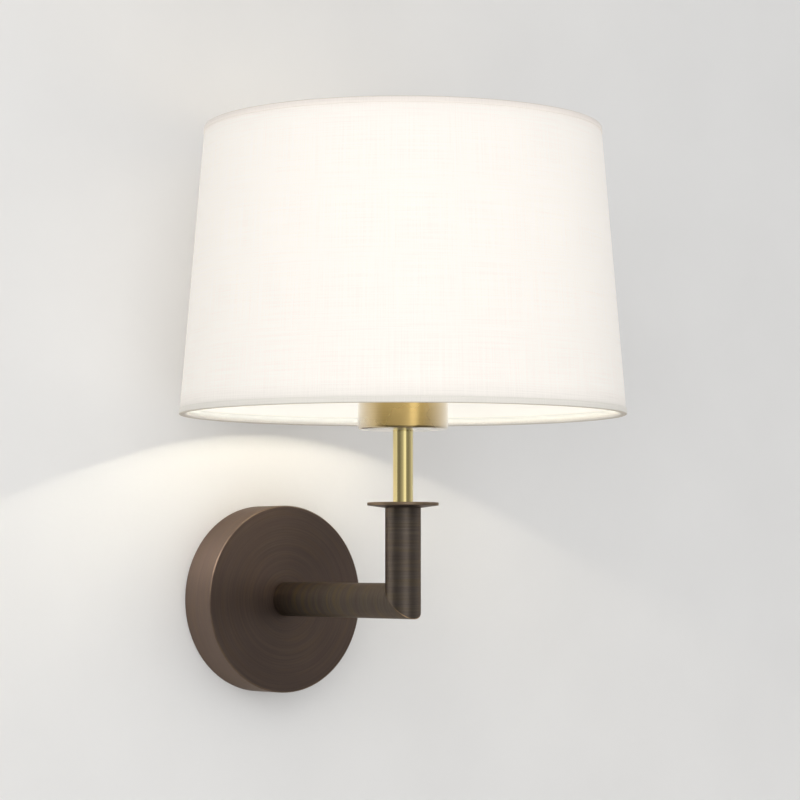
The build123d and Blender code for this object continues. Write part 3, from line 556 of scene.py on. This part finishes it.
for i in range(SEG):
    for j in range(ROWS):
        a = i * row + j
        faces.append((a, a + row, a + row + 1, a + 1))
        faces.append((off + a, off + a + 1, off + a + row + 1, off + a + row))
for i in range(SEG):
    a = i * row
    faces.append((a, off + a, off + a + row, a + row))
    a = i * row + ROWS
    faces.append((a, a + row, off + a + row, off + a))
for j in range(ROWS):
    faces.append((j, j + 1, off + j + 1, off + j))
    a = SEG * row + j
    faces.append((a, off + a, off + a + 1, a + 1))
skin = make("fabric_skin", verts, faces, M["skin"], lambda poly: [uvs[v] for v in poly.vertices], "shade")
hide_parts("shade_skin")


# hem tapes: a folded band over the edge, round the ring wire and up the inside
def hem(name, node, up, mat, seed):
    """up is +1 at the shade's foot and -1 at its top: the way from the edge to the cloth."""
    z_edge = SH_Z0 if up > 0 else SH_Z1
    skin_edge = z_edge + up * TAPE
    lo_r = skin_out(skin_edge + up * 1.55 * MM) - SKIN_T - LINER_T - WIRE - (0.05 if up > 0 else 0.15) * MM
    wz = skin_edge + up * (WIRE + 0.05 * MM)
    t = 0.24 * MM
    h = t / 2
    band = 3.3 * MM

    def outer(z):
        return skin_out(z) + 0.02 * MM + h

    def inner(z):
        return skin_out(z) - SKIN_T - LINER_T - 0.04 * MM - h

    path = []
    for k in range(7):
        z = z_edge + up * (band - (band - 0.8 * MM) * k / 6)
        path.append((outer(z), z))
    fold = 0.55 * MM
    cx, cz = outer(z_edge + up * fold) - fold, z_edge + up * (fold + h)
    for k in range(1, 7):
        a = math.radians(90 * k / 6)
        path.append((cx + fold * math.cos(a), cz - up * fold * math.sin(a)))
    path.append((lo_r + 0.6 * MM, z_edge + up * h))
    rr = WIRE + 0.06 * MM + h
    for k in range(9):
        a = math.radians(90 + 155 * k / 8)
        path.append((lo_r + rr * math.cos(a), wz - up * rr * math.sin(a)))
    for k in range(1, 5):
        z = wz + up * (1.75 + 1.25 * k / 4) * MM
        path.append((inner(z) - (0.35 * MM if k == 1 else 0.0), z))
    prof = ribbon(path, t)
    if up < 0:
        prof = prof[::-1]
    wr, wb = waves(seed, 0.07 * MM, 30), waves(seed + 1, 0.16 * MM, 24)

    def wobble(ang, r, z, j):
        top = abs(z - z_edge) > 2.6 * MM
        return wr(ang) * 0.6, (wb(ang) if top else 0.0)

    ob = lathe(name, prof, mat, "shade", 320, wobble)
    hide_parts(node)
    return ob, prof


hem_low, prof_low = hem("hem_band_bottom", "bottom_hem_tape", 1, M["hem_low"], 21)
hem_top, prof_top = hem("hem_band_top", "top_hem_tape", -1, M["hem_top"], 33)

# the glow of the shade is wide and weak: found by reflected rays alone it is less grainy
for key in ("skin", "hem_low", "hem_top", "liner"):
    M[key].cycles.emission_sampling = "NONE"

# ------------------------------------------------------------------ bulb cap with its round thread
verts, faces = [], []
CZ0, CZ1, CR = 131.5 * MM, 151.0 * MM, 13.2 * MM
NT, NZ = 96, 78
for j in range(NZ + 1):
    z = CZ0 + (CZ1 - CZ0) * j / NZ
    env = min(1.0, max(0.0, (z - CZ0 - 0.5 * MM) / (1.6 * MM))) * min(1.0, max(0.0, (CZ1 - 2.2 * MM - z) / (1.6 * MM)))
    for i in range(NT):
        t = 2 * math.pi * i / NT
        r = CR - 0.52 * MM * env * (0.5 - 0.5 * math.cos(2 * math.pi * (z / (3.63 * MM)) - t))
        if z < CZ0 + 0.5 * MM:
            r -= 0.35 * MM
        verts.append((r * math.cos(t), -PROJ + r * math.sin(t), z))
for j in range(NZ):
    for i in range(NT):
        a, b = j * NT + i, j * NT + (i + 1) % NT
        faces.append((a, b, b + NT, a + NT))
inner0 = len(verts)
for j in (0, NZ):
    z = CZ0 + (CZ1 - CZ0) * j / NZ
    for i in range(NT):
        t = 2 * math.pi * i / NT
        verts.append((12.45 * MM * math.cos(t), -PROJ + 12.45 * MM * math.sin(t), z))
for i in range(NT):
    b = (i + 1) % NT
    faces.append((i, inner0 + i, inner0 + b, b))
    faces.append((NZ * NT + i, NZ * NT + b, inner0 + NT + b, inner0 + NT + i))
    faces.append((inner0 + i, inner0 + NT + i, inner0 + NT + b, inner0 + b))
cap = make("bulb_cap_thread", verts, faces, M["nickel"], body="bulb")
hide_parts("bulb_cap")

# ------------------------------------------------------------------ stage: wall and floor
wall_mat = Mat("wall_paint", Metallic=0.0, Roughness=0.9)
v = wall_mat.vec(*wall_mat.xyz())
n1 = wall_mat.noise(v, 140.0, 4.0, 0.6)
n2 = wall_mat.noise(v, 9.0, 3.0, 0.5)
wall_mat.set("Base_Color", wall_mat.ramp(n2, (0.3, (0.800, 0.798, 0.790)), (0.7, (0.828, 0.826, 0.818))))
wall_mat.bump(n1, 0.10, 0.0010)
face = wall_mat.node("ShaderNodeNewGeometry").outputs["Backfacing"]
clear = wall_mat.node("ShaderNodeBsdfTransparent").outputs[0]
mixer = wall_mat.node("ShaderNodeMixShader", {0: face, 1: wall_mat.b.outputs[0], 2: clear})
wall_mat.t.links.new(mixer.outputs[0], wall_mat.out.inputs[0])

verts, faces = [], []
HOLE = 54.0 * MM
LEFT = 0.40                              # from here on to the left the wall isn't seen in reflections
HALF = LEFT / math.tan(math.radians(7.5))
for i in range(96):
    t = 2 * math.pi * i / 96
    verts.append((HOLE * math.cos(t), 0.0006, HOLE * math.sin(t)))
for i in range(96):
    t = 2 * math.pi * i / 96
    side = LEFT if math.cos(t) < 0 else HALF
    k = min(side / max(1e-6, abs(math.cos(t))), HALF / max(1e-6, abs(math.sin(t))))
    verts.append((k * math.cos(t), 0.0006, k * math.sin(t)))
for i in range(96):
    b = (i + 1) % 96
    faces.append((i, 96 + i, 96 + b, b))
wall = make("stage_wall", verts, faces, wall_mat.m)
wall_left = make("stage_wall_left", [(-3.4, 0.0006, -HALF), (-LEFT, 0.0006, -HALF), (-LEFT, 0.0006, HALF), (-3.4, 0.0006, HALF)],
                 [(0, 1, 2, 3)], wall_mat.m)
wall_left.visible_glossy = False
floor_mat = Mat("floor_paint", Metallic=0.0, Roughness=0.8)
v = floor_mat.vec(*floor_mat.xyz())
floor_mat.set("Base_Color", floor_mat.ramp(floor_mat.noise(v, 3.0, 3.0), (0.3, (0.76, 0.755, 0.745)), (0.7, (0.80, 0.795, 0.785))))
floor = make("stage_floor", [(-4, 0.2, -1.25), (4, 0.2, -1.25), (4, -5, -1.25), (-4, -5, -1.25)], [(0, 3, 2, 1)], floor_mat.m)
floor.visible_glossy = False             # what metal sees below it is the dim lower part of the studio

# ------------------------------------------------------------------ light
world = bpy.data.worlds.new("studio")
world.use_nodes = True
wt = world.node_tree
wt.nodes.clear()


def wnode(kind, inputs=(), **props):
    n = wt.nodes.new(kind)
    for k, v in props.items():
        setattr(n, k, v)
    for key, v in dict(inputs).items():
        if isinstance(v, bpy.types.NodeSocket):
            wt.links.new(v, n.inputs[key])
        else:
            n.inputs[key].default_value = v
    return n


# the studio round the lamp, by azimuth: 0 straight out from the wall, + towards +X. One tall soft window,
# a dim room to its sides, and paler walls further round.
d = wnode("ShaderNodeSeparateXYZ", {0: wnode("ShaderNodeTexCoord").outputs["Generated"]}).outputs
back = wnode("ShaderNodeMath", {0: d[1], 1: -1.0}, operation="MULTIPLY").outputs[0]
azim = wnode("ShaderNodeMath", {0: d[0], 1: back}, operation="ARCTAN2").outputs[0]
pos = wnode("ShaderNodeMapRange", {"Value": azim, "From Min": -math.pi, "From Max": math.pi}).outputs[0]
ring = wnode("ShaderNodeValToRGB", {0: pos})
stops = [(-180, 0.50), (-139, 0.48), (-108, 0.38), (-94, 0.20), (-80, 0.17), (-60, 0.34), (-47, 0.44), (-35, 0.66), (-24, 1.05),
         (-12, 1.30), (-6, 0.85), (1, 0.36), (14, 0.24), (30, 0.26), (45, 0.36), (60, 0.50), (85, 0.74), (110, 0.66), (180, 0.50)]
e = ring.color_ramp.elements
while len(e) < len(stops):
    e.new(0.5)
for el, (deg, st) in zip(e, stops):
    el.position = (deg + 180.0) / 360.0
    el.color = (st * 0.5, st * 0.5, st * 0.5, 1.0)
low = wnode("ShaderNodeMapRange", {"Value": d[2], "From Min": -0.55, "From Max": -0.03, "To Min": 0.85, "To Max": 2.0}).outputs[0]
ring2 = wnode("ShaderNodeMath", {0: ring.outputs[0], 1: low}, operation="MULTIPLY").outputs[0]
seen = wnode("ShaderNodeLightPath").outputs["Is Camera Ray"]
level = wnode("ShaderNodeMix", {0: seen, 2: ring2, 3: 0.62}, data_type="FLOAT").outputs[0]
bg = wnode("ShaderNodeBackground", {0: (0.99, 0.99, 1.0, 1.0), 1: level})
wo = wt.nodes.new("ShaderNodeOutputWorld")
wt.links.new(bg.outputs[0], wo.inputs[0])
scene.world = world


def panel(name, loc, target, size, power, colour=(1, 1, 1), size_y=None, soft=True):
    """A studio softbox. A soft one only lights matt surfaces; the others are also what metal reflects."""
    d = bpy.data.lights.new(name, "AREA")
    d.shape = "RECTANGLE"
    d.size = size
    d.size_y = size_y or size
    d.energy = power
    d.color = colour
    ob = bpy.data.objects.new(name, d)
    ob.location = loc
    ob.rotation_euler = (Vector(target) - Vector(loc)).to_track_quat("-Z", "Y").to_euler()
    scene.collection.objects.link(ob)
    ob.visible_camera = False
    if soft:
        ob.visible_glossy = False
    else:
        ob.visible_diffuse = False
    return ob


centre = Vector((0, -PROJ, 0.1))
panel("fill", (-0.9, -3.0, 0.6), (0, 0, 0.1), 3.0, 7.1, (1.0, 0.995, 0.985))
panel("ceiling", (0.3, -1.6, 2.3), (0.1, 0.0, 0.2), 3.2, 4.7, (1.0, 0.99, 0.98), 2.6)
panel("left", (-1.45, -1.3, 0.4), (-0.25, 0.0, 0.1), 1.2, 11.9, (1.0, 0.99, 0.97), 1.6)


panel("right", (1.7, -1.5, 0.2), (0.2, 0.0, 0.1), 1.2, 4.0, (1.0, 0.995, 0.99), 1.6)
panel("bounce", (-0.2, -1.5, -1.0), (0.0, 0.0, 0.12), 1.6, 5.4, (1.0, 0.99, 0.975), 1.2)
kicker = panel("kicker", (-1.10, -0.14, 0.85), (0, 0, 0), 0.5, 15.0, (1.0, 0.95, 0.91), soft=False)
only = bpy.data.collections.new("kicker_lights")     # a small side light for the rim of the plate alone
only.objects.link(nodes["cover_plate"])
kicker.light_linking.receiver_collection = only

# the window's own reflection in the cup, which the shade would hide: a narrow light inside it, for gloss only
ang = math.radians(-14.0)
strip = panel("strip", (0.105 * math.sin(ang), -PROJ - 0.105 * math.cos(ang), 0.134), (0, -PROJ, 0.134), 0.034, 0.0050,
              (1.0, 0.98, 0.95), 0.060, soft=False)


def bulb_light(name, kind, energy, colour, z, radius):
    d = bpy.data.lights.new(name, kind)
    d.energy = energy
    d.color = colour
    d.shadow_soft_size = radius
    if kind == "SPOT":
        d.spot_size = math.radians(137.0)    # its edge is the shade's own foot
        d.spot_blend = 0.12
    ob = bpy.data.objects.new(name, d)
    ob.location = (0, -PROJ, z)
    scene.collection.objects.link(ob)
    ob.parent = bodies["bulb"]
    return ob


bulb_light("bulb_down", "SPOT", 0.67, (1.0, 0.91, 0.74), 0.156, 0.011)
bulb_light("bulb_round", "POINT", 0.024, (1.0, 0.98, 0.66), 0.205, 0.045)
for o in (nodes["bulb_diffuser"], nodes["bulb_led_board"], nodes["bulb_housing"], nodes["holder_body"],
          nodes["shade_collar"], nodes["bulb_insulator"], cap):
    o.visible_shadow = False
